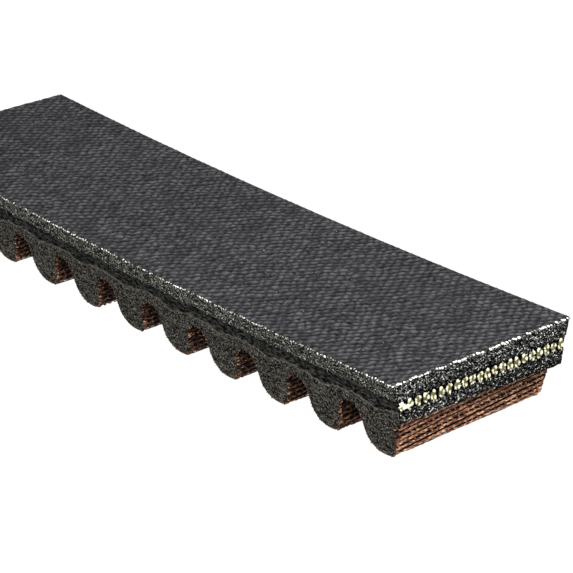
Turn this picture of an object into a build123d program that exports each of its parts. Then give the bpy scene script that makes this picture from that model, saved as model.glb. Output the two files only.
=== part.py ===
from build123d import *
import math
import os

# A cut length of raw-edge cogged variable-speed belt, with a slight backward set.
# X runs along the belt, Y across it, Z up from the cog tips to the back.
# The origin is the middle of the length and width, level with the middle cog's tip.
# Lengths are in millimetres and angles in degrees.

# Belt section
TOP_WIDTH = 30.2
THICKNESS = 11.45
GROOVE_ANGLE = 24.0

# Cogs: the belt is divided at the notches, one cog to a segment
COG_COUNT = 11
COG_PITCH = 9.7
NOTCH_DEPTH = 5.8
NOTCH_RADIUS = 2.0
FLANK_DRAFT = 9.0
REAR_TIP_RADIUS = 2.9
FRONT_TIP_RADIUS = 1.7

# Ends: cut through a notch, the front one a little out of square
FRONT_CUT_SKEW = 0.7

# Layers, measured down from the back
CLOTH_THICKNESS = 0.5
LEDGE_DEPTH = 2.5
LEDGE_INSET = 0.2
CORD_DEPTH = 3.45

# The undercord's upper boundary arches over each notch and dips to a cusp over each cog
ARCH_DEPTH = 4.25
CUSP_DEPTH = 5.05

# Tensile cords side by side across the width, pressed a little taller than wide
CORD_COUNT = 22
CORD_PITCH = 1.31
CORD_ACROSS = 0.95
CORD_TALL = 1.25

# Fabric plies in each cog, sloping up across the width
PLY_COUNT = 3
PLY_PITCH = 1.45
PLY_THICKNESS = 1.1
PLY_LOWEST = 1.15
PLY_SLOPE = 0.06
PLY_SIDE_COVER = 0.4

# Bending at each notch, about the cord line
BACKWARD_SET = 0.42
BEND_INWARD = 15.0
BEND_BACKWARD = 5.0
JOINT_GAP = 0.2

# Derived values
HALF_PITCH = COG_PITCH / 2
CORD_HEIGHT = THICKNESS - CORD_DEPTH
CLOTH_UNDERSIDE = THICKNESS - CLOTH_THICKNESS
LEDGE_HEIGHT = THICKNESS - LEDGE_DEPTH
ARCH_HEIGHT = THICKNESS - ARCH_DEPTH
CUSP_HEIGHT = THICKNESS - CUSP_DEPTH
NOTCH_CENTRE_HEIGHT = NOTCH_DEPTH - NOTCH_RADIUS
SIDE_SLOPE = math.tan(math.radians(GROOVE_ANGLE / 2))


def half_width(height):
    """Half of the belt's width at a height above the cog tips."""
    return TOP_WIDTH / 2 - (THICKNESS - height) * SIDE_SLOPE


def band(low, high, cover=0.0):
    """Corners of the V section between two heights, set in from the sides by cover."""
    bottom = half_width(low) - cover
    top = half_width(high) - cover
    return [(-bottom, low), (bottom, low), (top, high), (-top, high)]


def recessed_band():
    """Corners of the V section below the overcord, set in at the ledge and flush again lower down."""
    bottom = half_width(0)
    flush = half_width(CUSP_HEIGHT)
    ledge = half_width(LEDGE_HEIGHT) - LEDGE_INSET
    right_side = [(bottom, 0), (flush, CUSP_HEIGHT), (ledge, LEDGE_HEIGHT)]
    left_side = [(-across, height) for across, height in reversed(right_side)]
    return right_side + left_side


# ---------------------------------------------------------------- cross-sections of the layers

def back_cloth_section():
    """Rubberised woven cloth over the back."""
    with BuildSketch() as section:
        Polygon(*band(CLOTH_UNDERSIDE, THICKNESS), align=None)
    return section.sketch


def cord_section():
    """Row of tensile cords."""
    with BuildSketch() as section:
        with Locations((0, CORD_HEIGHT)):
            with GridLocations(CORD_PITCH, CORD_PITCH, CORD_COUNT, 1):
                Ellipse(CORD_ACROSS / 2, CORD_TALL / 2)
    return section.sketch


def upper_rubber_section():
    """Overcord and, under a small ledge, the cushion gum round the cords, cured as one."""
    with BuildSketch() as section:
        Polygon(*band(LEDGE_HEIGHT, CLOTH_UNDERSIDE), align=None)
        Polygon(*recessed_band(), align=None)
        add(cord_section(), mode=Mode.SUBTRACT)
    return section.sketch


def ply_section():
    """Fabric plies, seen where they are cut through on a cog's flanks."""
    with BuildSketch() as section:
        rise = PLY_SLOPE * TOP_WIDTH / 2
        for ply in range(PLY_COUNT):
            low = PLY_LOWEST + ply * PLY_PITCH - PLY_THICKNESS / 2
            high = low + PLY_THICKNESS
            corners = [
                (-TOP_WIDTH / 2, low - rise),
                (TOP_WIDTH / 2, low + rise),
                (TOP_WIDTH / 2, high + rise),
                (-TOP_WIDTH / 2, high - rise),
            ]
            Polygon(*corners, align=None)
        Polygon(*band(0, THICKNESS, PLY_SIDE_COVER), align=None, mode=Mode.INTERSECT)
    return section.sketch


def cog_section():
    """Undercord and cog, slotted for the plies."""
    with BuildSketch() as section:
        Polygon(*band(0, LEDGE_HEIGHT), align=None)
        add(ply_section(), mode=Mode.SUBTRACT)
    return section.sketch


# ---------------------------------------------------------------- side view of one segment

def end_face(side, jointed):
    """Side-view corners of one end of a segment, from the back down to the cog tips.

    A free end is cut square. A jointed end leaves room to bend both ways about the cord line.
    """
    reach = HALF_PITCH
    top_relief = 0.0
    low_relief = 0.0
    if jointed:
        reach = HALF_PITCH - JOINT_GAP / 2
        top_relief = CORD_DEPTH * math.tan(math.radians(BEND_BACKWARD / 2))
        low_relief = CORD_HEIGHT * math.tan(math.radians(BEND_INWARD / 2))
    return [
        (side * (reach - top_relief), THICKNESS),
        (side * reach, CORD_HEIGHT),
        (side * (reach - low_relief), 0),
    ]


def draw_notch(middle):
    """Arched notch with drafted flanks, open towards the cog tips."""
    draft = math.radians(FLANK_DRAFT)
    shoulder = NOTCH_RADIUS * math.cos(draft)
    shoulder_height = NOTCH_CENTRE_HEIGHT + NOTCH_RADIUS * math.sin(draft)
    mouth = shoulder + (shoulder_height + 1) * math.tan(draft)
    with Locations((middle, NOTCH_CENTRE_HEIGHT)):
        Circle(NOTCH_RADIUS, mode=Mode.SUBTRACT)
    flanks = [
        (middle - mouth, -1),
        (middle + mouth, -1),
        (middle + shoulder, shoulder_height),
        (middle - shoulder, shoulder_height),
    ]
    Polygon(*flanks, align=None, mode=Mode.SUBTRACT)


def boundary_height(offset):
    """Height of the undercord's upper boundary at a distance along the belt from a notch."""
    rise = ARCH_HEIGHT - CUSP_HEIGHT
    radius = (HALF_PITCH**2 + rise**2) / (2 * rise)
    return ARCH_HEIGHT - radius + math.sqrt(radius**2 - offset**2)


def draw_side_view(index, undercord_mode):
    """Side view of one segment, from notch centre to notch centre.

    undercord_mode keeps only the undercord with its cog, or cuts it away to leave what lies above it.
    """
    rear = end_face(-1, index > 0)
    front = end_face(1, index < COG_COUNT - 1)
    quarter = HALF_PITCH / 2
    with BuildSketch(Plane.XZ) as side_view:
        with BuildLine():
            Polyline(*rear, *reversed(front), close=True)
        make_face()
        draw_notch(-HALF_PITCH)
        draw_notch(HALF_PITCH)
        tip_corners = side_view.vertices().group_by(Axis.Y)[0].sort_by(Axis.X)
        fillet(tip_corners[0], radius=REAR_TIP_RADIUS)
        front_corner = side_view.vertices().group_by(Axis.Y)[0].sort_by(Axis.X)[-1]
        fillet(front_corner, radius=FRONT_TIP_RADIUS)
        with BuildLine():
            cusp = (0, CUSP_HEIGHT)
            rear_arch = (-HALF_PITCH, ARCH_HEIGHT)
            front_arch = (HALF_PITCH, ARCH_HEIGHT)
            ThreePointArc(rear_arch, (-quarter, boundary_height(quarter)), cusp)
            ThreePointArc(cusp, (quarter, boundary_height(quarter)), front_arch)
            Polyline(front_arch, (HALF_PITCH, -1), (-HALF_PITCH, -1), rear_arch)
        make_face(mode=undercord_mode)
    return side_view.sketch


# ---------------------------------------------------------------- pieces

def front_cut():
    """Plane of the belt's front cut, short on the -Y side by the skew."""
    return Plane(origin=(HALF_PITCH, TOP_WIDTH / 2, 0), z_dir=(TOP_WIDTH, -FRONT_CUT_SKEW, 0))


def segment_place(index):
    """Where a segment lies: level in the middle, each one beyond it set further back at its notch."""
    place = Location((0, 0, 0))
    middle = COG_COUNT // 2
    side = 1 if index > middle else -1
    for _ in range(abs(index - middle)):
        hinge = Location((side * HALF_PITCH, 0, CORD_HEIGHT), (0, -side * BACKWARD_SET, 0))
        place = place * hinge * Location((side * HALF_PITCH, 0, -CORD_HEIGHT))
    return place


def build_piece(section, index, undercord_mode):
    """One layer of a segment: its cross-section run along the belt and trimmed to the side view."""
    side_view = draw_side_view(index, undercord_mode)
    with BuildPart() as piece:
        with BuildSketch(Plane.YZ):
            add(section)
        extrude(amount=COG_PITCH, both=True)
        extrude(side_view, amount=TOP_WIDTH, both=True, mode=Mode.INTERSECT)
        if index == COG_COUNT - 1:
            split(bisect_by=front_cut(), keep=Keep.BOTTOM)
    return piece.part.moved(segment_place(index))


LAYERS = {
    "back_cloth": (back_cloth_section(), Mode.SUBTRACT),
    "upper_rubber": (upper_rubber_section(), Mode.SUBTRACT),
    "tensile_cords": (cord_section(), Mode.SUBTRACT),
    "cog": (cog_section(), Mode.INTERSECT),
    "cog_plies": (ply_section(), Mode.INTERSECT),
}

os.makedirs("parts", exist_ok=True)

for number in range(COG_COUNT):
    for layer_name, (section, undercord_mode) in LAYERS.items():
        layer = build_piece(section, number, undercord_mode)
        layer.label = f"{layer_name}_{number + 1:02d}"
        export_step(layer, f"parts/{layer.label}.step")
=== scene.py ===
import math

import bpy
import numpy as np
from mathutils import Matrix, Vector


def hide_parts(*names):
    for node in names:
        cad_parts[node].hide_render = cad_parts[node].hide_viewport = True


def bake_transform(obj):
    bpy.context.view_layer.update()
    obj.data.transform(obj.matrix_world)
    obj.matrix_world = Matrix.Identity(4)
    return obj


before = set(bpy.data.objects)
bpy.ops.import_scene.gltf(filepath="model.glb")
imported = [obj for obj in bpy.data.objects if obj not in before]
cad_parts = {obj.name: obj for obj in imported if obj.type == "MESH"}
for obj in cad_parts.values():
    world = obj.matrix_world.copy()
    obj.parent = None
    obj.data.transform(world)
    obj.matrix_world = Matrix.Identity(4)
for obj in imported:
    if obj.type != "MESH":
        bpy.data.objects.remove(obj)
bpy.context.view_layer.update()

# The belt's section and cogs, as in the CAD model. Millimetres and degrees, with X along the belt,
# Y across it and Z up from the cog tips to the back.
MM = 0.001
TOP_WIDTH = 30.2
THICKNESS = 11.45
SIDE_SLOPE = math.tan(math.radians(12.0))
COG_COUNT = 11
PITCH = 9.7
HALF_PITCH = PITCH / 2
LENGTH = COG_COUNT * PITCH
NOTCH_DEPTH = 5.8
NOTCH_RADIUS = 2.0
FLANK_DRAFT = math.radians(9.0)
REAR_TIP_RADIUS = 2.9
FRONT_TIP_RADIUS = 1.7
FRONT_CUT_SKEW = 0.7
CLOTH_LOW = 10.95
LEDGE_HEIGHT = 8.95
CORD_LINE = 8.0
CORD_COUNT = 22
CORD_PITCH = 1.31
ARCH_HEIGHT = 7.2
CUSP_HEIGHT = 6.4
PLY_PITCH = 1.45
PLY_LOWEST = 1.15
PLY_SLOPE = 0.06
BACKWARD_SET = math.radians(0.42)

# Surface texture
WEAVE_ALONG = 0.64
WEAVE_ACROSS = 0.96
CLOTH_RELIEF = 0.19
OVERCORD_BULGE = 0.05
WALL_ROUGHNESS = 0.17
NOTCH_ROUGHNESS = 0.09
LEDGE = 0.2

# Clearance left between the sides and the section's full width
SKIN = 0.02

# Distance on both sides of each notch's middle; the loop works out two points from it that nothing reads
BEND_REACH = 2.2

# The cords stand slightly closer than in the CAD model, to leave rubber outside the last ones
CORD_STEP = CORD_PITCH * 0.985
CORD_RADIUS = 0.58
CORD_SQUEEZE = 0.70

# Fabric plies: how low and how high on a flank their yarn may lie, and the spacing of their holes
PLY_FLOOR = 0.10
PLY_CEILING = 5.66
PLY_HOLES = 0.95
FRINGE_YARNS = 70

# Fineness of the surfaces: spacing along the belt, and points across it
CLOTH_STEP = 0.11
CLOTH_COLUMNS = 271
OVERCORD_STEP = 0.16
WALL_ROWS = 46
UNDERSIDE_COLUMNS = 141
CUT_COLUMNS = 231


# ---------------------------------------------------------------- repeatable noise

NOISE_SIZE = 32
NOISE_TABLE = np.random.default_rng(7).random((NOISE_SIZE, NOISE_SIZE, NOISE_SIZE))


def noise(x, y, z=0.0, scale=1.0, seed=0):
    """Smooth value noise from 0 to 1 at points in millimetres; scale is features per millimetre."""
    x, y, z = np.broadcast_arrays(
        np.asarray(x, float) * scale + seed * 3.71,
        np.asarray(y, float) * scale + seed * 7.13,
        np.asarray(z, float) * scale + seed * 1.93,
    )
    cells, parts = [], []
    for values in (x, y, z):
        cell = np.floor(values)
        part = values - cell
        cells.append(cell.astype(int))
        parts.append(part * part * (3 - 2 * part))
    total = np.zeros(x.shape)
    for a in (0, 1):
        for b in (0, 1):
            for c in (0, 1):
                corner = NOISE_TABLE[
                    (cells[0] + a) % NOISE_SIZE,
                    (cells[1] + b) % NOISE_SIZE,
                    (cells[2] + c) % NOISE_SIZE,
                ]
                weight = (
                    (parts[0] if a else 1 - parts[0])
                    * (parts[1] if b else 1 - parts[1])
                    * (parts[2] if c else 1 - parts[2])
                )
                total += corner * weight
    return total


# ---------------------------------------------------------------- section and outline

def half_width(z):
    """Half of the belt's width at height z."""
    return TOP_WIDTH / 2 - (THICKNESS - np.asarray(z, float)) * SIDE_SLOPE


def boundary_height(x):
    """Height of the undercord's upper boundary: an arch over each notch, with a cusp over each cog."""
    rise = ARCH_HEIGHT - CUSP_HEIGHT
    radius = (HALF_PITCH**2 + rise**2) / (2 * rise)
    phase = (np.asarray(x, float) + LENGTH / 2) / PITCH
    offset = (phase - np.round(phase)) * PITCH
    return ARCH_HEIGHT - radius + np.sqrt(radius**2 - offset**2)


def smooth(value):
    """Eases 0 to 1."""
    value = np.clip(value, 0, 1)
    return value * value * (3 - 2 * value)


def wall_inset(x, z):
    """How far the side wall below the ledge stands in: the gum band is recessed, the undercord is not."""
    ragged = 0.55 * (noise(x, z, 0, 0.8, 51) - 0.5) + 0.40 * (noise(x, z, 0, 2.2, 52) - 0.5)
    return SKIN + LEDGE * smooth((z - boundary_height(x) + ragged) / 0.3)


def half_outline(tip_radius):
    """Side-view points from a notch's middle to the lowest point of a cog's rounded corner."""
    arch_height = NOTCH_DEPTH - NOTCH_RADIUS
    points = []
    for angle in np.linspace(math.pi / 2, FLANK_DRAFT, 15):
        height = arch_height + NOTCH_RADIUS * math.sin(angle)
        points.append((NOTCH_RADIUS * math.cos(angle), height))
    x0, z0 = points[-1]
    centre = x0 + (z0 - tip_radius) * math.tan(FLANK_DRAFT) + tip_radius / math.cos(FLANK_DRAFT)
    low_z = tip_radius + tip_radius * math.sin(math.pi + FLANK_DRAFT)
    low_x = centre + tip_radius * math.cos(math.pi + FLANK_DRAFT)
    for step in np.linspace(0, 1, 8)[1:-1]:
        points.append((x0 + (low_x - x0) * step, z0 + (low_z - z0) * step))
    for angle in np.linspace(math.pi + FLANK_DRAFT, 1.5 * math.pi, 13):
        height = tip_radius + tip_radius * math.sin(angle)
        points.append((centre + tip_radius * math.cos(angle), height))
    return np.array(points)


# Extra outline points this far in from a cut end, for the rubber dragged down by the knife
LIP_POINTS = (0.1, 0.25, 0.4)

REAR_HALF = half_outline(REAR_TIP_RADIUS)
FRONT_HALF = half_outline(FRONT_TIP_RADIUS)


def notch_x(index):
    """Middle of a notch: index 0 is the far cut end and COG_COUNT the near one."""
    return index * PITCH - LENGTH / 2


def bottom_line(first, last):
    """Side-view points along the belt's underside between two places along it."""
    points = []
    for cog in range(COG_COUNT):
        rear = REAR_HALF + (notch_x(cog), 0)
        front = (FRONT_HALF * (-1, 1) + (notch_x(cog + 1), 0))[::-1]
        points += [*rear, (notch_x(cog) + HALF_PITCH, 0.0), *front]
    points = np.array(points)
    points = points[np.argsort(points[:, 0], kind="stable")]
    keep = (points[:, 0] > first - 1e-6) & (points[:, 0] < last + 1e-6)
    points = points[keep]
    lip_x = [side * (LENGTH / 2 - back) for side in (-1, 1) for back in LIP_POINTS]
    lip = [(x, float(np.interp(x, points[:, 0], points[:, 1]))) for x in lip_x if first < x < last]
    points = np.array(sorted([*map(tuple, points), *lip]))
    distinct = np.r_[True, np.diff(points[:, 0]) > 1e-6]
    points = points[distinct]
    for index, edge in ((0, first), (-1, last)):
        points[index, 0] = edge
    return points


def weave(x, y):
    """Height, 0 to 1, of plain-woven cloth under a skin of rubber: threads along and across the belt."""
    wander = 0.9 * (noise(x, y, 0, 0.4, 1) - 0.5) + 0.75 * (noise(x, y, 0, 1.2, 2) - 0.5)
    drift = 0.9 * (noise(x, y, 0, 0.3, 3) - 0.5) + 0.70 * (noise(x, y, 0, 1.0, 4) - 0.5)
    u = x / WEAVE_ALONG + wander
    v = y / WEAVE_ACROSS + drift
    line = 0.5 + 0.5 * np.cos(np.pi * (u - v))
    crown = 0.5 + 0.5 * np.cos(np.pi * (u + v - 1))
    strength = 0.55 + 0.75 * noise(x, y, 0, 0.8, 5)
    grain = 0.42 * (noise(x, y, 0, 3.6, 6) - 0.5)
    ridge = (1 - (1 - line) ** 2.0) * (1 - 0.55 * (1 - crown) ** 1.6)
    return np.clip(0.85 * strength * (0.08 + 0.92 * ridge) + grain, 0, 1)


def at_rest(points):
    """Gives the straight, square-ended belt its skewed front cut and its slight backward set."""
    points = np.array(points, float)
    x, y, z = points[..., 0].copy(), points[..., 1], points[..., 2].copy()
    near_cut = smooth((x - LENGTH / 2 + 1.7) / 1.7)
    x -= FRONT_CUT_SKEW * near_cut * (0.5 - y / TOP_WIDTH)
    radius = PITCH / BACKWARD_SET
    angle = x / radius
    points[..., 0] = (radius - (z - CORD_LINE)) * np.sin(angle)
    points[..., 2] = CORD_LINE + radius - (radius - (z - CORD_LINE)) * np.cos(angle)
    return points


# ---------------------------------------------------------------- mesh building

class Shape:
    """Collects grids, tubes and caps, in millimetres, for one mesh."""

    def __init__(self):
        self.points, self.faces, self.materials = [], [], []
        self.flow, self.tint = [], []
        self.count = 0

    def add(self, points, faces, material=0, flow=None, tint=0.5):
        """flow is a texture place for each point, and tint a shade for all of them or for each."""
        points = np.asarray(points, float).reshape(-1, 3)
        if flow is None:
            flow = np.zeros((len(points), 2))
        self.points.append(points)
        self.faces += [[v + self.count for v in f] for f in faces]
        self.materials += [material] * len(faces)
        self.flow.append(np.asarray(flow, float).reshape(-1, 2))
        self.tint.append(np.broadcast_to(np.asarray(tint, float).ravel(), (len(points),)))
        self.count += len(points)

    def grid(self, points, material=0, flow=None, tint=0.5, flip=False):
        """A sheet of quads; points is rows by columns by 3, facing rows cross columns."""
        rows, columns = points.shape[:2]
        index = np.arange(rows * columns).reshape(rows, columns)
        corners = [index[:-1, :-1], index[1:, :-1], index[1:, 1:], index[:-1, 1:]]
        quads = np.stack(corners, -1).reshape(-1, 4)
        if flip:
            quads = quads[:, ::-1]
        self.add(points, quads.tolist(), material, flow, tint)

    def deck(self, xs, half, z, ends, tint=0.5, flip=False):
        """A flat sheet, half wide on both sides; ends is how many points its first and last rows have."""
        counts = [ends[0], *[2] * (len(xs) - 2), ends[1]]
        rows, points = [], []
        for x, count in zip(xs, counts):
            rows.append(list(range(len(points), len(points) + count)))
            points += [(x, y, z) for y in np.linspace(-half, half, count)]
        faces = [[low[0], *high, *low[:0:-1]] for low, high in zip(rows, rows[1:])]
        self.add(points, [face[::-1] if flip else face for face in faces], 0, None, tint)

    def cap(self, ring, material=0, flip=False):
        """A flat face over a ring of points."""
        order = list(range(len(ring)))
        self.add(ring, [order[::-1] if flip else order], material)

    def tube(self, path, radius, sides=6, material=0, tint=0.5, squeeze=1.0):
        """A closed tube along a path; radius is one number or one for each point."""
        path = np.asarray(path, float)
        count = len(path)
        radius = np.broadcast_to(np.asarray(radius, float), (count,))
        direction = np.gradient(path, axis=0)
        direction /= np.linalg.norm(direction, axis=1)[:, None] + 1e-12
        upright = abs(direction[:, 2]).mean() >= 0.8
        helper = np.array([1.0, 0.0, 0.0] if upright else [0.0, 0.0, 1.0])
        side = np.cross(direction, helper)
        side /= np.linalg.norm(side, axis=1)[:, None] + 1e-12
        up = np.cross(side, direction)
        angles = np.arange(sides) * 2 * math.pi / sides
        ring = np.cos(angles)[None, :, None] * side[:, None, :] * squeeze
        ring = ring + np.sin(angles)[None, :, None] * up[:, None, :]
        points = path[:, None, :] + ring * radius[:, None, None]
        faces = []
        for a in range(count - 1):
            for b in range(sides):
                c = (b + 1) % sides
                faces.append([a * sides + c, a * sides + b, (a + 1) * sides + b, (a + 1) * sides + c])
        faces.append(list(range(sides)))
        faces.append([(count - 1) * sides + b for b in range(sides)][::-1])
        if not np.isscalar(tint):
            tint = np.repeat(np.asarray(tint), sides)
        self.add(points.reshape(-1, 3), faces, material, None, tint)

    def build(self, name, looks):
        """Makes the object, and keeps each point's place at rest for its materials to follow."""
        points = np.concatenate(self.points)
        mesh = bpy.data.meshes.new(name)
        mesh.from_pydata((at_rest(points) * MM).tolist(), [], self.faces)
        mesh.polygons.foreach_set("use_smooth", [True] * len(self.faces))
        mesh.polygons.foreach_set("material_index", self.materials)
        for look in looks:
            mesh.materials.append(look)
        rest = mesh.attributes.new("rest", "FLOAT_VECTOR", "POINT")
        rest.data.foreach_set("vector", points.astype(np.float32).ravel())
        flow = mesh.attributes.new("flow", "FLOAT_VECTOR", "POINT")
        pairs = np.concatenate(self.flow)
        vectors = np.c_[pairs, np.zeros(len(pairs))]
        flow.data.foreach_set("vector", vectors.astype(np.float32).ravel())
        tint = mesh.attributes.new("tint", "FLOAT", "POINT")
        tint.data.foreach_set("value", np.concatenate(self.tint).astype(np.float32))
        mesh.update()
        made = bpy.data.objects.new(name, mesh)
        bpy.context.scene.collection.objects.link(made)
        return made


# ---------------------------------------------------------------- materials

class Look:
    """A node material, built up one node at a time."""

    def __init__(self, name):
        self.material = bpy.data.materials.new(name)
        self.material.use_nodes = True
        self.nodes = self.material.node_tree.nodes
        self.links = self.material.node_tree.links
        self.shader = self.nodes["Principled BSDF"]

    def put(self, socket, value):
        if isinstance(value, bpy.types.NodeSocket):
            self.links.new(value, socket)
        else:
            socket.default_value = value

    def attribute(self, name, output="Vector"):
        node = self.nodes.new("ShaderNodeAttribute")
        node.attribute_name = name
        return node.outputs[output]

    def stretch(self, vector, scale):
        node = self.nodes.new("ShaderNodeMapping")
        self.put(node.inputs["Vector"], vector)
        node.inputs["Scale"].default_value = scale
        return node.outputs["Vector"]

    def noise(self, vector, scale, detail=3.0, roughness=0.6):
        node = self.nodes.new("ShaderNodeTexNoise")
        self.put(node.inputs["Vector"], vector)
        node.inputs["Scale"].default_value = scale
        node.inputs["Detail"].default_value = detail
        node.inputs["Roughness"].default_value = roughness
        return node.outputs["Fac"]

    def ramp(self, value, *stops):
        node = self.nodes.new("ShaderNodeValToRGB")
        self.put(node.inputs["Fac"], value)
        ramp = node.color_ramp
        while len(ramp.elements) < len(stops):
            ramp.elements.new(0.5)
        for element, (place, colour) in zip(ramp.elements, stops):
            element.position = place
            element.color = (*colour, 1)
        return node.outputs["Color"]

    def mix(self, share, first, second, blend="MIX"):
        node = self.nodes.new("ShaderNodeMix")
        node.data_type = "RGBA"
        node.blend_type = blend
        self.put(node.inputs[0], share)
        self.put(node.inputs[6], first)
        self.put(node.inputs[7], second)
        return node.outputs[2]

    def math(self, operation, *values):
        node = self.nodes.new("ShaderNodeMath")
        node.operation = operation
        for place, value in enumerate(values):
            self.put(node.inputs[place], value)
        return node.outputs[0]

    def spread(self, value, low, high, to_low=0.0, to_high=1.0):
        node = self.nodes.new("ShaderNodeMapRange")
        self.put(node.inputs["Value"], value)
        node.inputs["From Min"].default_value = low
        node.inputs["From Max"].default_value = high
        node.inputs["To Min"].default_value = to_low
        node.inputs["To Max"].default_value = to_high
        return node.outputs["Result"]

    def split(self, vector):
        node = self.nodes.new("ShaderNodeSeparateXYZ")
        self.put(node.inputs[0], vector)
        return node.outputs

    def finish(self, colour, roughness, bump=None, strength=0.5, depth=0.05, specular=0.4, sheen=0.0):
        self.put(self.shader.inputs["Base Color"], colour)
        self.put(self.shader.inputs["Roughness"], roughness)
        self.shader.inputs["Specular IOR Level"].default_value = specular
        self.shader.inputs["Sheen Weight"].default_value = sheen
        if bump is not None:
            node = self.nodes.new("ShaderNodeBump")
            node.inputs["Strength"].default_value = strength
            node.inputs["Distance"].default_value = depth * MM
            self.put(node.inputs["Height"], bump)
            self.links.new(node.outputs["Normal"], self.shader.inputs["Normal"])
        return self.material


def cloth_look():
    """Rubberised weave: painted shade between the threads and a painted grey highlight on their crests,
    with a little lint.
    """
    look = Look("rubberised_weave")
    rest = look.attribute("rest")
    painted_light_mask = look.attribute("tint", "Fac")
    fine = look.noise(rest, 2.6, 3.0, 0.65)
    broad = look.noise(rest, 0.09, 2.0, 0.5)
    # Painted shade in the weave's valleys and painted highlight on its crests, following the weave height
    base = look.ramp(
        painted_light_mask,
        (0.12, (0.001, 0.001, 0.001)),
        (0.50, (0.030, 0.030, 0.0315)),
        (0.95, (0.112, 0.112, 0.119)),
    )
    worn = look.mix(look.spread(broad, 0.3, 0.7, 0.0, 0.15), base, (0.045, 0.045, 0.050, 1))
    mottle = look.ramp(fine, (0.35, (0.002, 0.002, 0.003)), (0.75, (0.110, 0.111, 0.118)))
    grain = look.mix(0.3, worn, mottle)
    lint = look.spread(look.noise(rest, 2.1, 2.0, 0.8), 0.715, 0.75)
    colour = look.mix(lint, grain, (0.32, 0.33, 0.34, 1))
    return look.finish(colour, look.spread(fine, 0.2, 0.8, 0.6, 0.85), fine, 0.5, 0.06, 0.03)


def wall_look(name, dark, middle, light, speck):
    """Ground rubber: mottled, streaked along the belt and dotted with fibre. Left open to add to."""
    look = Look(name)
    rest = look.attribute("rest")
    flow = look.attribute("flow")
    fine = look.noise(rest, 3.9, 2.0, 0.75)
    coarse = look.noise(rest, 1.1, 3.0, 0.6)
    base = look.ramp(fine, (0.43, dark), (0.51, middle), (0.62, light))
    colour = look.mix(look.spread(coarse, 0.4, 0.65, 0.0, 0.5), base, (*dark, 1))
    lines = look.noise(look.stretch(flow, (0.55, 13.0, 1.0)), 1.0, 3.0, 0.65)
    colour = look.mix(look.spread(lines, 0.52, 0.60, 0.0, 0.6), colour, (*dark, 1))
    colour = look.mix(look.spread(lines, 0.45, 0.38, 0.0, 0.35), colour, (*light, 1))
    glint = look.spread(look.noise(rest, 4.6, 1.0, 0.5), 0.64, 0.72, 0.0, 0.9)
    colour = look.mix(glint, colour, (*speck, 1))
    return look, colour, fine


def overcord_look():
    """Side wall of the fibre-loaded rubber above the cords."""
    look, colour, fine = wall_look(
        "overcord_side",
        dark=(0.002, 0.002, 0.002),
        middle=(0.010, 0.010, 0.008),
        light=(0.155, 0.155, 0.13),
        speck=(0.46, 0.45, 0.39),
    )
    return look.finish(colour, 0.9, fine, 1.0, 0.12, 0.01)


def side_look():
    """The gum's smooth dark band, scalloped over the cogs, and the undercord below it, with a painted
    highlight along the step between them.
    """
    look, colour, fine = wall_look(
        "undercord_side",
        dark=(0.001, 0.001, 0.001),
        middle=(0.014, 0.013, 0.010),
        light=(0.135, 0.124, 0.104),
        speck=(0.28, 0.26, 0.22),
    )
    rest = look.attribute("rest")
    ripple = look.noise(look.stretch(rest, (0.55, 1.0, 1.5)), 2.4, 3.0, 0.7)
    smooth_gum = look.ramp(ripple, (0.44, (0.0005, 0.0005, 0.0005)), (0.66, (0.055, 0.055, 0.052)))
    band = look.attribute("tint", "Fac")
    # Painted highlight along the step where the undercord meets the recessed gum band
    highlight_rise = look.spread(band, 0.02, 0.3, 0.0, 0.6)
    highlight_fade = look.spread(band, 0.75, 0.45, 0.0, 1.0)
    painted_light_mask = look.math("MULTIPLY", highlight_rise, highlight_fade)
    colour = look.mix(painted_light_mask, colour, (0.11, 0.105, 0.09, 1))
    colour = look.mix(look.spread(band, 0.35, 0.85, 0.0, 1.0), colour, smooth_gum)
    height = look.split(rest)[2]
    ragged_height = look.math("ADD", height, look.spread(fine, 0.0, 1.0, -0.35, 0.35))
    rim = look.spread(ragged_height, 0.40, 0.10, 0.0, 0.7)
    colour = look.mix(rim, colour, (0.10, 0.042, 0.022, 1))
    return look.finish(colour, look.spread(band, 0.0, 1.0, 0.9, 0.8), fine, 0.8, 0.10, 0.01)


def cut_look():
    """Fibre-loaded rubber cut across: black, with short pale fibres."""
    look = Look("cut_rubber")
    rest = look.attribute("rest")
    fine = look.noise(rest, 3.0, 4.0, 0.75)
    base = look.ramp(
        fine,
        (0.46, (0.001, 0.001, 0.001)),
        (0.60, (0.005, 0.005, 0.005)),
        (0.76, (0.06, 0.061, 0.058)),
    )
    dots = look.noise(look.stretch(rest, (1.0, 0.7, 1.3)), 4.2, 1.0, 0.5)
    specks = look.spread(dots, 0.63, 0.70, 0.0, 0.9)
    colour = look.mix(specks, base, (0.40, 0.41, 0.38, 1))
    from_cords = look.math("ABSOLUTE", look.math("SUBTRACT", look.split(rest)[2], CORD_LINE))
    colour = look.mix(look.spread(from_cords, 0.85, 0.6, 0.0, 0.9), colour, (0.001, 0.001, 0.001, 1))
    return look.finish(colour, 0.85, fine, 0.8, 0.10, 0.01)


def flank_look():
    """Notch surface: black rubber, browned by the fuzz of the cut plies."""
    look = Look("notch_rubber")
    rest = look.attribute("rest")
    fine = look.noise(rest, 3.0, 4.0, 0.75)
    fuzz = look.ramp(
        fine,
        (0.35, (0.003, 0.002, 0.002)),
        (0.65, (0.010, 0.005, 0.003)),
        (0.85, (0.06, 0.026, 0.014)),
    )
    return look.finish(fuzz, 0.85, fine, 0.6, 0.08, 0.02)


def yarn_look(name, dark, middle, light, roughness=0.6):
    """Yarn or fibre, from dark to light by its own tint and a fine grain."""
    look = Look(name)
    rest = look.attribute("rest")
    fine = look.noise(rest, 4.0, 3.0, 0.7)
    tint = look.attribute("tint", "Fac")
    share = look.math("ADD", look.spread(fine, 0.2, 0.8, -0.4, 0.4), tint)
    colour = look.ramp(share, (0.1, dark), (0.5, middle), (0.95, light))
    return look.finish(colour, roughness, fine, 0.5, 0.03, 0.08, 0.03)


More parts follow.
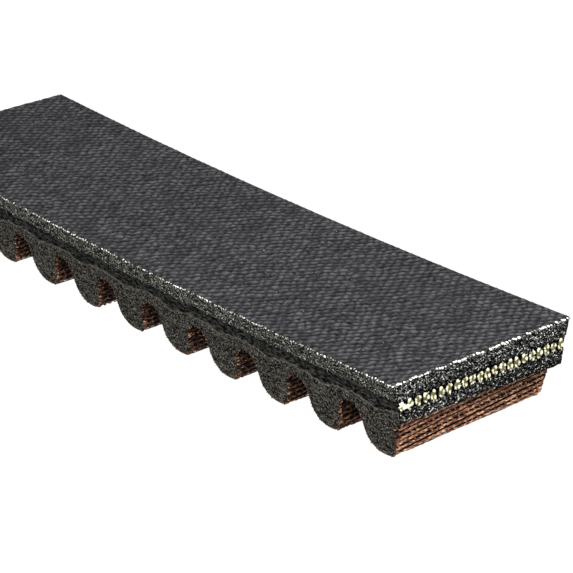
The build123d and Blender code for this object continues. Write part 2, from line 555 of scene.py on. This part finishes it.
CLOTH = cloth_look()
OVERCORD = overcord_look()
SIDE = side_look()
CUT = cut_look()
NOTCH = flank_look()
COPPER = yarn_look("copper_yarn", (0.012, 0.006, 0.004), (0.23, 0.098, 0.052), (0.88, 0.54, 0.36))
CREAM = yarn_look("cream_cord", (0.12, 0.11, 0.05), (0.74, 0.72, 0.47), (0.97, 0.96, 0.82), 0.7)
THREAD = yarn_look("cloth_thread", (0.04, 0.035, 0.03), (0.52, 0.49, 0.43), (0.97, 0.95, 0.90), 0.7)
FIBRE = yarn_look("chopped_fibre", (0.02, 0.021, 0.02), (0.16, 0.165, 0.155), (0.80, 0.81, 0.77))
BLACK = yarn_look("black_gum", (0.003, 0.003, 0.003), (0.010, 0.010, 0.010), (0.03, 0.03, 0.03))


# ---------------------------------------------------------------- layers of one span

def columns(first, last, step):
    return np.linspace(first, last, max(2, int(round((last - first) / step)) + 1))


def facing(side):
    """True if a grid laid rows-down, columns-along has to be flipped to face outwards."""
    return side > 0


def is_cut(place):
    return abs(abs(place) - LENGTH / 2) < 1e-6


def end_counts(first, last):
    """How many points a flat sheet has across its first and last rows."""
    return [CUT_COLUMNS if is_cut(end) else 2 for end in (first, last)]


def rim_fade(share, power):
    """Rises from exactly 0 at shares 0 and 1 to 1 halfway, so a rough sheet keeps its rims."""
    inside = (share > 0) & (share < 1)
    return np.where(inside, np.abs(np.sin(np.pi * share)) ** power, 0.0)


def end_lip(x, y):
    """How far the knife has dragged the rubber down over the notch's arch, right at a cut end."""
    drag = 0.32 + 0.02 * y + 0.35 * (noise(y, x, 0, 1.1, 71) - 0.5)
    return np.clip(drag, 0, None) * smooth((np.abs(x) - LENGTH / 2 + 0.5) / 0.5)


def cloth_span(first, last):
    """The back cloth, woven on top and rounded off at its sides and cut ends."""
    shape = Shape()
    xs = columns(first, last, CLOTH_STEP)
    share = np.linspace(-1, 1, CLOTH_COLUMNS)
    x, s = np.meshgrid(xs, share, indexing="ij")
    shoulder = THICKNESS - 0.16
    top_half = half_width(shoulder)
    y = s * top_half
    height = weave(x, y)
    from_edge = np.clip((1 - np.abs(s)) * top_half / 0.35, 0, 1)
    from_end = np.clip((LENGTH / 2 - np.abs(x)) / 0.3, 0, 1)
    rise = np.sqrt(np.clip(1 - (1 - from_edge) ** 2, 0, 1))
    z = shoulder + rise * (0.01 + CLOTH_RELIEF * height) * (0.35 + 0.65 * from_end)
    shape.grid(np.stack([x, y, z], -1), 0, None, height)
    rows = np.linspace(shoulder, CLOTH_LOW, 4)
    for side in (-1, 1):
        wall = [[(a, side * half_width(b), b) for a in xs] for b in rows]
        shape.grid(np.array(wall), 1, None, 0.5, facing(side))
    low = half_width(CLOTH_LOW)
    under = np.array([[(a, b, CLOTH_LOW) for b in (-low, low)] for a in xs])
    shape.grid(under, 1, None, 0.5, True)
    for index, flip in ((0, False), (-1, True)):
        ring = [(x[index, k], y[index, k], z[index, k]) for k in range(len(share))]
        ring += [(xs[index], half_width(b), b) for b in rows[1:]]
        ring += [(xs[index], -half_width(b), b) for b in rows[:0:-1]]
        shape.cap(ring, 1, flip)
    return shape


def rough_wall(x, z, side, amount):
    """Small relief of a ground side wall."""
    rough = noise(x, z, side * 5.0, 2.2, 11) + 0.7 * noise(x, z, side * 5.0, 4.6, 12)
    return amount * (rough / 1.7 - 0.5)


def overcord_bulge(z):
    """How far the overcord swells out of the side wall at height z."""
    return OVERCORD_BULGE * np.sin(np.pi * (CLOTH_LOW - z) / (CLOTH_LOW - LEDGE_HEIGHT))


def overcord_span(first, last):
    """The fibre-loaded rubber between the cloth and the ledge."""
    shape = Shape()
    xs = columns(first, last, OVERCORD_STEP)
    ends = end_counts(first, last)
    zs = np.linspace(CLOTH_LOW, LEDGE_HEIGHT, 26 if max(ends) > 2 else 16)
    z, x = np.meshgrid(zs, xs, indexing="ij")
    fade = rim_fade((CLOTH_LOW - z) / (CLOTH_LOW - LEDGE_HEIGHT), 0.5)
    walls = {}
    for side in (-1, 1):
        out = half_width(z) - SKIN + overcord_bulge(z) + fade * rough_wall(x, z, side, 0.16)
        flow = np.stack([x, (z - LEDGE_HEIGHT) / 5], -1)
        walls[side] = np.stack([x, side * out, z], -1)
        shape.grid(walls[side], 0, flow, 0.5, facing(side))
    for level, flip in ((CLOTH_LOW, False), (LEDGE_HEIGHT, True)):
        shape.deck(xs, float(half_width(level)) - SKIN, level, ends, 0.5, flip)
    for index, end, flip in ((0, first, False), (-1, last, True)):
        left, right = walls[-1][::-1, index], walls[1][::-1, index]
        if is_cut(end):
            rims = [level_rim(end, float(half_width(z)) - SKIN, z) for z in (LEDGE_HEIGHT, CLOTH_LOW)]
            cut_face(shape, end, rims[0], rims[1], left, right, 1)
        else:
            shape.cap([*right[::-1], *left], 0, flip)
    return shape


def level_rim(end, half, z):
    """Points straight across a cut end at one height."""
    return np.array([(end, y, z) for y in np.linspace(-half, half, CUT_COLUMNS)])


def cut_face(shape, end, bottom, top, left, right, material):
    """Rough cut rubber across the belt's end, stretched between the rims of the faces round it.

    bottom and top run from -Y to +Y, and left and right run upwards.
    """
    outward = 1 if end > 0 else -1
    t = np.linspace(0, 1, len(left))[:, None, None]
    u = np.linspace(0, 1, len(bottom))[None, :, None]
    points = (1 - t) * bottom + t * top + (1 - u) * left[:, None] + u * right[:, None]
    points -= (1 - t) * ((1 - u) * bottom[0] + u * bottom[-1]) + t * ((1 - u) * top[0] + u * top[-1])
    points[0], points[-1], points[:, 0], points[:, -1] = bottom, top, left, right
    y, z = points[..., 1], points[..., 2]
    from_rim = np.minimum(z - bottom[:, 2], top[:, 2] - z)
    from_side = np.minimum(u, 1 - u)[..., 0] * TOP_WIDTH
    edge = np.clip(from_rim / 0.15, 0, 1) * np.clip(from_side / 0.2, 0, 1)
    relief = 0.22 * (noise(y, z, 3.0 + outward, 2.0, 21) - 0.5) + 0.18 * (noise(y, z, 1.0, 4.4, 22) - 0.5)
    points[..., 0] += outward * edge * (relief - 0.04)
    shape.grid(points, material, None, 0.5, outward > 0)


def rubber_span(first, last):
    """The gum, undercord and cogs, from the ledge down to the cog tips."""
    shape = Shape()
    line = bottom_line(first, last)
    xs, lows = line[:, 0], line[:, 1]
    shares = np.linspace(1, 0, WALL_ROWS)
    run = np.r_[0, np.cumsum(np.hypot(np.diff(xs), np.diff(lows)))]
    ends = end_counts(first, last)
    walls = {}
    for side in (-1, 1):
        x = np.broadcast_to(xs, (len(shares), len(xs)))
        edge_lows = lows - end_lip(xs, side * half_width(lows))
        z = edge_lows + (LEDGE_HEIGHT - edge_lows) * shares[:, None]
        fade = rim_fade(shares[:, None], 0.4)
        out = half_width(z) - wall_inset(x, z)
        band = (wall_inset(x, z) - SKIN) / LEDGE
        out = out + fade * rough_wall(x, z, side, WALL_ROUGHNESS) * (1 - 0.7 * band)
        below = (boundary_height(x) - z) / (boundary_height(x) - lows)
        flow = np.stack([np.broadcast_to(run + first, z.shape), below], -1)
        walls[side] = np.stack([x, side * out, z], -1)
        shape.grid(walls[side], 0, flow, band, facing(side))
    top = float(half_width(LEDGE_HEIGHT)) - SKIN - LEDGE
    shape.deck(xs, top, LEDGE_HEIGHT, ends, 1.0)
    share = np.linspace(-1, 1, CUT_COLUMNS if max(ends) > 2 else UNDERSIDE_COLUMNS)
    x = np.broadcast_to(xs[:, None], (len(xs), len(share)))
    z = np.broadcast_to(lows[:, None], x.shape)
    z = z - end_lip(x, share * half_width(z))
    y = share * (half_width(z) - wall_inset(x, z))
    slope = np.gradient(lows, np.arange(len(lows)))
    reach = np.gradient(xs, np.arange(len(xs)))
    size = np.hypot(slope, reach)
    fade = np.clip((1 - np.abs(share)) * 14 / 0.4, 0, 1)
    relief = fade * NOTCH_ROUGHNESS * (noise(run[:, None], y, 0.0, 2.4, 31) - 0.5)
    x = x + (slope / size)[:, None] * relief
    z = z - (reach / size)[:, None] * (relief - NOTCH_ROUGHNESS / 2 * fade)
    under = np.stack([x, y, z], -1)
    shape.grid(under, 1, None, 0.5, True)
    for index, end, flip in ((0, first, False), (-1, last, True)):
        left, right = walls[-1][::-1, index], walls[1][::-1, index]
        if is_cut(end):
            cut_face(shape, end, under[index], level_rim(end, top, LEDGE_HEIGHT), left, right, 2)
        else:
            shape.cap([*right[::-1], *under[index][-2:0:-1], *left], 0, flip)
    return shape


def flank_point(notch, side, z):
    """x of a cog's flank at height z, and its outward normal's x and z parts. side is where the cog is."""
    half = REAR_HALF if side > 0 else FRONT_HALF
    run = half[::-1]
    x = np.interp(z, run[:, 1], run[:, 0])
    dx = (np.interp(z + 0.02, run[:, 1], run[:, 0]) - x) / 0.02
    size = np.sqrt(1 + dx * dx)
    return notch_x(notch) + side * x, -side / size, dx / size


def ply_edges(first, last, rng):
    """Cut edges of the fabric plies on every flank between two places along the belt."""
    shape = Shape()
    for notch in range(COG_COUNT + 1):
        for side in (-1, 1):
            place = notch_x(notch) + side * 2.4
            if not first - 1e-6 < place < last + 1e-6:
                continue
            for ply in range(-1, 4):
                ply_edge(shape, notch, side, ply, rng)
            for wall in (-1, 1):
                ply_fringe(shape, notch, side, wall, rng)
    return shape


def ply_fringe(shape, notch, side, wall, rng):
    """Frayed yarn where a flank meets a side wall, thickest near the cog's tip."""
    for _ in range(FRINGE_YARNS):
        z = 0.12 + 5.4 * rng.random() ** 1.35
        x, nx, nz = (float(v) for v in flank_point(notch, side, z))
        edge = float(half_width(z)) - SKIN
        across = wall * (edge - rng.uniform(0.15, 0.7))
        start = np.array([x + nx * 0.02, across, max(z + nz * 0.02, 0.08)])
        tip = start.copy()
        tip[1] = wall * (edge + rng.uniform(-0.12, 0.07))
        tip[2] = max(tip[2] + rng.normal(0, 0.12), 0.08)
        middle = (start + tip) / 2 + np.array([nx, 0, nz]) * rng.uniform(0.03, 0.10)
        thick = rng.uniform(0.04, 0.10)
        shape.tube([start, middle, tip], [thick, thick, thick * 0.5], 5, 0, rng.uniform(-0.2, 0.65))


def flank_path(notch, side, y, z, lift):
    """A path over a flank, lifted off its surface."""
    x, nx, nz = flank_point(notch, side, z)
    return np.stack([x + nx * lift, y, np.maximum(z + nz * lift, 0.05)], -1)


def stretches(keep):
    """Index ranges of the unbroken runs of True."""
    edges = np.flatnonzero(np.diff(np.r_[0, keep.astype(int), 0]))
    return [(a, b) for a, b in zip(edges[::2], edges[1::2]) if b - a > 3]


def ply_edge(shape, notch, side, ply, rng):
    """Rope-like yarns above and below a row of small holes, with slanting ties between the holes."""
    reach = float(half_width(1.5)) - 0.1
    y = np.arange(-reach, reach, 0.12)
    seed = notch * 3.0 + side
    level = PLY_LOWEST + ply * PLY_PITCH + rng.uniform(-0.06, 0.06)
    # Painted shade: yarn in the inner notches is painted darker for the depth of the notch, while the two
    # cut-end notches keep nearly their full colour
    painted_notch_shade = -0.02 if notch in (0, COG_COUNT) else -0.34
    middle = level + PLY_SLOPE * y + 0.20 * (noise(y, seed, ply, 0.25, 41) - 0.5)
    hole = PLY_HOLES * rng.uniform(0.95, 1.05)
    phase = rng.uniform(0, 2 * math.pi)
    for part, height, thick in ((0, 0.32, 0.085), (1, -0.32, 0.08), (2, 0.53, 0.055), (3, -0.53, 0.05)):
        wave = (0.05 if part < 2 else 0.02) * np.sin(2 * math.pi * y / hole + phase + 2.2 * part)
        z = middle + height + wave + 0.07 * (noise(y, part, seed + ply * 7.0, 1.0, 42) - 0.5)
        lift = 0.07 + 0.04 * noise(y, part * 2.0, seed, 1.6, 43)
        radius = thick * (0.80 + 0.4 * noise(y, part, ply + seed, 2.4, 44))
        tint = painted_notch_shade + 0.06 + 0.85 * noise(y, part * 4.0, seed * 2.0 + ply, 2.6, 45)
        narrow = half_width(z) - 0.06
        keep = (z > PLY_FLOOR) & (z < PLY_CEILING) & (np.abs(y) < narrow)
        for a, b in stretches(keep):
            path = flank_path(notch, side, y[a:b], z[a:b], lift[a:b])
            shape.tube(path, radius[a:b], 6, 0, tint[a:b])
    for place in np.arange(-reach + 0.3, reach - 0.2, hole):
        centre = float(np.interp(place, y, middle))
        lean = rng.uniform(0.16, 0.34)
        span = np.array([-0.42, -0.16, 0.16, 0.42])
        z = centre + span
        too_wide = abs(place) > float(half_width(centre)) - 0.4
        if z[0] < PLY_FLOOR or z[-1] > PLY_CEILING or too_wide:
            continue
        across = place - span / 0.42 * lean + rng.uniform(-0.08, 0.08)
        path = flank_path(notch, side, across, z, np.array([0.0, 0.07, 0.07, 0.0]))
        radius = np.array([0.06, 0.11, 0.11, 0.06]) * rng.uniform(0.8, 1.3)
        shape.tube(path, radius, 6, 0, painted_notch_shade + rng.uniform(0.0, 0.55))
    for _ in range(14):
        place = rng.uniform(-reach + 0.5, reach - 0.5)
        z = float(np.interp(place, y, middle)) + rng.uniform(-0.7, 0.7)
        if not 0.2 < z < 5.6:
            continue
        x, nx, nz = (float(v) for v in flank_point(notch, side, z))
        start = np.array([x, place, z])
        out = np.array([nx, 0, nz]) * rng.uniform(0.08, 0.2)
        tip = start + out + rng.normal(0, 1, 3) * (0.03, 0.12, 0.10)
        middle_point = (start + tip) / 2 + out * 0.3
        path = [start, middle_point, tip]
        shape.tube(path, [0.035, 0.03, 0.015], 4, 0, painted_notch_shade + rng.uniform(0.4, 1.0))


def thread_ends(first, last, rng):
    """Cut ends of the cloth's threads along both sides and round the cut ends."""
    shape = Shape()
    for side in (-1, 1):
        x = math.ceil(first / WEAVE_ALONG) * WEAVE_ALONG
        while x < last:
            z = rng.uniform(11.00, 11.24)
            sunk = 0.06 if side > 0 else 0.0
            out = side * (float(half_width(z)) + rng.uniform(-0.05, 0.02) - sunk)
            bright = rng.uniform(0.05, 1.1) * float(0.30 + 1.1 * noise(x, side, 0, 0.35, 61))
            lean = rng.uniform(0.1, 1.0) * (1 if rng.random() < 0.7 else -1)
            spot = (x + rng.uniform(-0.1, 0.1), out, z)
            stub(shape, spot, (1, 0, lean), (0, side, 0), bright, rng, 0.72)
            x += WEAVE_ALONG * 0.72
    for end in (first, last):
        if is_cut(end):
            outward = 1 if end > 0 else -1
            for y in np.arange(-14.7, 14.75, WEAVE_ACROSS / 2):
                bright = rng.uniform(0.6, 1.1) if rng.random() < 0.72 else rng.uniform(0.0, 0.3)
                z = rng.uniform(11.08, 11.30)
                spot = (end + outward * rng.uniform(0.0, 0.08), y + rng.uniform(-0.1, 0.1), z)
                stub(shape, spot, (0, 1, rng.uniform(-0.9, 0.1)), (outward, 0, 0), bright, rng)
    return shape


def stub(shape, spot, along, outward, bright, rng, size=1.0):
    """One cut thread: a short lumpy bundle with a stray filament or two."""
    spot, along, outward = (np.array(v, float) for v in (spot, along, outward))
    along /= np.linalg.norm(along)
    half = size * rng.uniform(0.14, 0.32)
    steps = np.linspace(-1, 1, 5)[:, None]
    path = spot + along * steps * half + outward * 0.04 * (1 - steps**2)
    radius = np.array([0.05, 0.12, 0.15, 0.12, 0.05]) * size * rng.uniform(0.6, 1.25)
    shape.tube(path, radius, 6, 0, min(bright, 1.0))
    for _ in range(rng.integers(0, 3)):
        start = spot + along * rng.uniform(-half, half)
        tip = start + along * rng.uniform(-0.3, 0.3) + outward * rng.uniform(0.05, 0.16)
        tip = tip + np.array([0, 0, rng.uniform(-0.30, 0.16)])
        bend = (start + tip) / 2 + np.array([0, 0, rng.uniform(-0.06, 0.06)])
        shape.tube([start, bend, tip], [0.028, 0.024, 0.012], 4, 0, rng.uniform(0.3, 0.9))


def cord_span(first, last, rng):
    """The row of tensile cords, with their cut ends where the belt ends."""
    shape = Shape()
    xs = columns(first, last, 1.0)
    for cord in range(CORD_COUNT):
        y = (cord - (CORD_COUNT - 1) / 2) * CORD_STEP
        path = np.stack([xs, np.full_like(xs, y), np.full_like(xs, CORD_LINE)], -1)
        if is_cut(first):
            path[0, 0] += 0.12
        if is_cut(last):
            path[-1, 0] -= 0.12
        shape.tube(path, CORD_RADIUS, 8, 1, 0.3, CORD_SQUEEZE)
        for end in (first, last):
            if is_cut(end):
                end_y = y + rng.uniform(-0.07, 0.07)
                cord_end(shape, end, end_y, CORD_LINE + rng.uniform(-0.08, 0.08), rng)
    if is_cut(last):
        splayed_end(shape, last, -CORD_STEP * (CORD_COUNT - 1) / 2, rng)
    return shape


def splayed_end(shape, end, y, rng):
    """Yarns of the outermost cord, combed out sideways and upwards by the knife."""
    for _ in range(9):
        across, height = y + rng.uniform(0.3, 1.5), CORD_LINE + rng.uniform(-0.35, 0.2)
        start = np.array([end + 0.10, across, height])
        way = [rng.uniform(0.05, 0.25), rng.uniform(-1.6, -0.8), rng.uniform(-0.15, 0.55)]
        tip = start + np.array(way)
        tip[1] = max(tip[1], -float(half_width(CORD_LINE)) + 0.15)
        middle = (start + tip) / 2 + np.array([0.12, 0, rng.uniform(-0.1, 0.1)])
        thick = rng.uniform(0.07, 0.14)
        shape.tube([start, middle, tip], [thick, thick, thick * 0.7], 6, 0, rng.uniform(0.5, 1.0))


def cord_end(shape, end, y, z, rng):
    """A cut twisted cord: pale yarns in a ring round a darker core, with frayed filaments."""
    outward = 1 if end > 0 else -1
    turn = rng.uniform(0, 2 * math.pi)
    lean = rng.uniform(-0.25, 0.25)
    angles = np.linspace(0, 2 * math.pi, 19)
    wide, tall = rng.uniform(0.24, 0.31), rng.uniform(0.44, 0.54)
    lumps = 1 + 0.14 * np.sin(3 * angles + turn) + 0.08 * np.sin(5 * angles + 2 * turn)
    ring_y = wide * np.cos(angles) * lumps
    ring_z = tall * np.sin(angles) * lumps
    ring_y = ring_y + lean * ring_z * 0.6
    ring_x = end + outward * (0.06 + 0.05 * np.sin(2 * angles + turn))
    path = np.stack([ring_x, y + ring_y, z + ring_z], -1)
    radius = 0.16 + 0.035 * np.sin(4 * angles + turn)
    shape.tube(path, radius, 7, 0, 0.26 + 0.42 * np.sin(3 * angles + turn))
    core = np.array([(end - outward * 0.1, y, z), (end + outward * 0.03, y, z)])
    shape.tube(core, [0.3, 0.22], 8, 0, rng.uniform(-0.2, 0.2), 0.7)
    for _ in range(rng.integers(2, 6)):
        angle = rng.uniform(0, 2 * math.pi)
        across, height = y + wide * math.cos(angle), z + tall * math.sin(angle)
        start = np.array([end + outward * 0.05, across, height])
        out = outward * rng.uniform(0.05, 0.25)
        way = np.array([out, math.cos(angle) * 0.3, math.sin(angle) * 0.4])
        tip = start + way * rng.uniform(0.5, 1.1)
        bend = (start + tip) / 2 + np.array([outward * 0.06, 0, 0.04])
        shape.tube([start, bend, tip], [0.045, 0.04, 0.015], 4, 0, rng.uniform(0.5, 1.0))


def fibres(first, last, rng):
    """Short chopped fibres standing in the rubber: lying on the cut ends, dotted along the sides."""
    shape = Shape()
    for end in (first, last):
        if not is_cut(end):
            continue
        outward = 1 if end > 0 else -1
        above_cords = (1050, CORD_LINE + 0.85, 11.0)
        below_cords = (520, NOTCH_DEPTH - 0.1, CORD_LINE - 0.75)
        for count, low, high in (above_cords, below_cords):
            for _ in range(count):
                z = rng.uniform(low, high)
                y = rng.uniform(-1, 1) * (float(half_width(z)) - 0.3)
                angle = rng.normal(0, 0.8)
                half = rng.uniform(0.05, 0.19)
                bow = rng.uniform(-0.06, 0.06)
                path = []
                for step in (-1, -0.3, 0.4, 1):
                    across = step * half
                    rise = bow * (1 - step * step)
                    path.append((
                        end + outward * (0.05 + 0.04 * (1 - step * step)),
                        y + across * math.cos(angle) - rise * math.sin(angle),
                        z + across * math.sin(angle) + rise * math.cos(angle),
                    ))
                shape.tube(path, rng.uniform(0.022, 0.05), 4, 0, rng.random() ** 2.6)
    length = last - first
    for side in (-1, 1):
        for _ in range(int(length * 70)):
            z = rng.uniform(0.3, 10.9)
            x = rng.uniform(first + 0.05, last - 0.05)
            offset = x - notch_x(round((x + LENGTH / 2) / PITCH))
            half = REAR_HALF if offset > 0 else FRONT_HALF
            floor = np.interp(abs(offset), half[:, 0], half[:, 1]) + 0.15
            if z < floor or boundary_height(x) < z < LEDGE_HEIGHT:
                continue
            above = z > LEDGE_HEIGHT
            inset = SKIN - float(overcord_bulge(z)) if above else float(wall_inset(x, z))
            out = side * (float(half_width(z)) - inset + 0.02)
            way = rng.normal(0, 1, 3) * (0.14, 0.02, 0.09)
            path = [(x, out, z), (x + way[0], out + side * 0.05, z + way[2])]
            shape.tube(path, [0.045, 0.02], 4, 0, rng.uniform(-0.1, 0.8 if above else 0.45))
    return shape


# ---------------------------------------------------------------- putting the belt together

LAYERS = {
    "back_cloth": (CLOTH, BLACK),
    "upper_rubber": (OVERCORD, CUT),
    "cog": (SIDE, NOTCH, CUT),
    "cog_plies": (COPPER,),
    "tensile_cords": (CREAM, CREAM),
    "cloth_threads": (THREAD,),
    "rubber_fibres": (FIBRE,),
}
STANDS_FOR = ("back_cloth", "upper_rubber", "cog", "cog_plies", "tensile_cords")


def span_shape(layer, first, last, rng):
    if layer == "back_cloth":
        return cloth_span(first, last)
    if layer == "upper_rubber":
        return overcord_span(first, last)
    if layer == "cog":
        return rubber_span(first, last)
    if layer == "cog_plies":
        return ply_edges(first, last, rng)
    if layer == "tensile_cords":
        return cord_span(first, last, rng)
    if layer == "cloth_threads":
        return thread_ends(first, last, rng)
    return fibres(first, last, rng)


for span in range(COG_COUNT - 1):
    hinge = notch_x(span + 1)
    start_x = notch_x(0) if span == 0 else hinge - PITCH / 2
    end_x = notch_x(COG_COUNT) if span == COG_COUNT - 2 else hinge + PITCH / 2
    left, right = f"segment_{span + 1:02d}", f"segment_{span + 2:02d}"
    for order, (layer, looks) in enumerate(LAYERS.items()):
        shape = span_shape(layer, start_x, end_x, np.random.default_rng(100 * span + order))
        piece = shape.build(f"{layer}_span_{span + 1:02d}", looks)
        ends = at_rest([(hinge - BEND_REACH, 0, CORD_LINE), (hinge + BEND_REACH, 0, CORD_LINE)]) * MM
        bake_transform(piece)
        if layer in STANDS_FOR:
            nodes = [f"{layer}_{span + 1:02d}"]
            if span == COG_COUNT - 2:
                nodes.append(f"{layer}_{span + 2:02d}")
            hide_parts(*nodes)


# ---------------------------------------------------------------- floor, light and camera

def plain_material(name, colour, roughness):
    look = Look(name)
    grain = look.noise(look.nodes.new("ShaderNodeTexCoord").outputs["Object"], 40.0, 2.0, 0.5)
    low = tuple(c * 0.99 for c in colour)
    return look.finish(look.ramp(grain, (0.0, low), (1.0, colour)), roughness)


# The floor lies well below the belt, so it takes no visible shadow. Metres.
FLOOR_HALF = 4.0
FLOOR_DROP = 0.30
FLOOR_CORNERS = ((-1, -1), (1, -1), (1, 1), (-1, 1))

floor_mesh = bpy.data.meshes.new("floor")
corners = [(a * FLOOR_HALF, b * FLOOR_HALF, -FLOOR_DROP) for a, b in FLOOR_CORNERS]
floor_mesh.from_pydata(corners, [], [(0, 1, 2, 3)])
floor = bpy.data.objects.new("floor", floor_mesh)
floor_mesh.materials.append(plain_material("pale_floor", (0.98, 0.98, 0.98), 0.9))
bpy.context.scene.collection.objects.link(floor)

world = bpy.data.worlds.new("studio")
bpy.context.scene.world = world
world.use_nodes = True
world.node_tree.nodes["Background"].inputs["Color"].default_value = (1, 1, 1, 1)
world.node_tree.nodes["Background"].inputs["Strength"].default_value = 0.70


def sun_light(name, direction, strength, spread):
    """Soft light from one direction; spread is how wide its source looks, in degrees."""
    data = bpy.data.lights.new(name, "SUN")
    data.energy = strength
    data.angle = math.radians(spread)
    light = bpy.data.objects.new(name, data)
    light.rotation_euler = Vector(direction).to_track_quat("Z", "Y").to_euler()
    bpy.context.scene.collection.objects.link(light)


sun_light("key", (0.45, -0.65, 0.9), 0.95, 25.0)
sun_light("rim", (0.30, 0.75, 0.9), 0.5, 50.0)
near_fill = bpy.data.lights.new("near_fill", "AREA")
near_fill.energy = 0.60
near_fill.size = 0.12
near_light = bpy.data.objects.new("near_fill", near_fill)
near_light.location = (0.16, -0.09, 0.17)
from_target = Vector(near_light.location) - Vector((0.04, 0, 0))
near_light.rotation_euler = from_target.to_track_quat("Z", "Y").to_euler()
bpy.context.scene.collection.objects.link(near_light)

# Camera: distances in millimetres, measured from the middle of the near top edge
AZIMUTH = math.radians(48.122)
ELEVATION = math.radians(24.518)
ROLL = math.radians(0.692)
CAMERA_DISTANCE = 287.25
CAMERA_RIGHT = 24.327
CAMERA_UP = -7.717
LENS = 148.6
SENSOR = 36.0

# How far the backward set lifts the belt's ends
SET_RISE = (LENGTH / 2) ** 2 / 2 / (PITCH / BACKWARD_SET)

back = Vector((
    math.sin(AZIMUTH) * math.cos(ELEVATION),
    -math.cos(AZIMUTH) * math.cos(ELEVATION),
    math.sin(ELEVATION),
))
level = (-back).cross(Vector((0, 0, 1))).normalized()
upright = level.cross(-back)
right = math.cos(ROLL) * level + math.sin(ROLL) * upright
up = math.cos(ROLL) * upright - math.sin(ROLL) * level
aim = Vector((LENGTH / 2, 0, THICKNESS + SET_RISE))
camera_data = bpy.data.cameras.new("camera")
camera_data.sensor_width = SENSOR
camera_data.lens = LENS
camera_data.clip_start = 0.01
camera_data.clip_end = 20
camera = bpy.data.objects.new("camera", camera_data)
camera.location = (aim + back * CAMERA_DISTANCE - right * CAMERA_RIGHT - up * CAMERA_UP) * MM
camera.rotation_euler = Matrix((right, up, back)).transposed().to_euler()
bpy.context.scene.collection.objects.link(camera)
bpy.context.scene.camera = camera
bpy.context.scene.view_settings.view_transform = "Standard"
